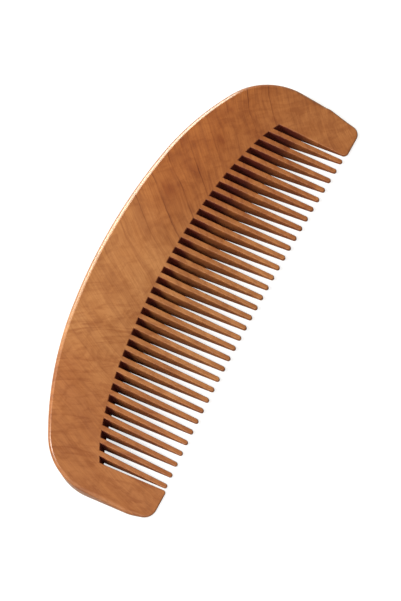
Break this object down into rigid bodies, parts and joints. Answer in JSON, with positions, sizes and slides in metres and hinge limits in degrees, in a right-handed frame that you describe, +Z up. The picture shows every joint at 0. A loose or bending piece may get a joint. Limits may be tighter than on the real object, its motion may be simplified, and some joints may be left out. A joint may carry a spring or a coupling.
{
  "type": "wooden comb",
  "caption": "Flat half-moon wooden hair comb with a curved back, a broad guard at each end and fine parallel teeth between them.",
  "frame": {"origin": "on the surface that the comb lies on, below the middle of its length and width", "axes": "+X along the comb's length, +Y from the teeth towards the curved back, +Z up from the surface"},
  "size_m": [0.1496, 0.0586, 0.0128],
  "materials": {
    "wood": "smooth oiled fruitwood, satin"
  },
  "bodies": {
    "root": {"comb": "wood"}
  },
  "joints": []
}
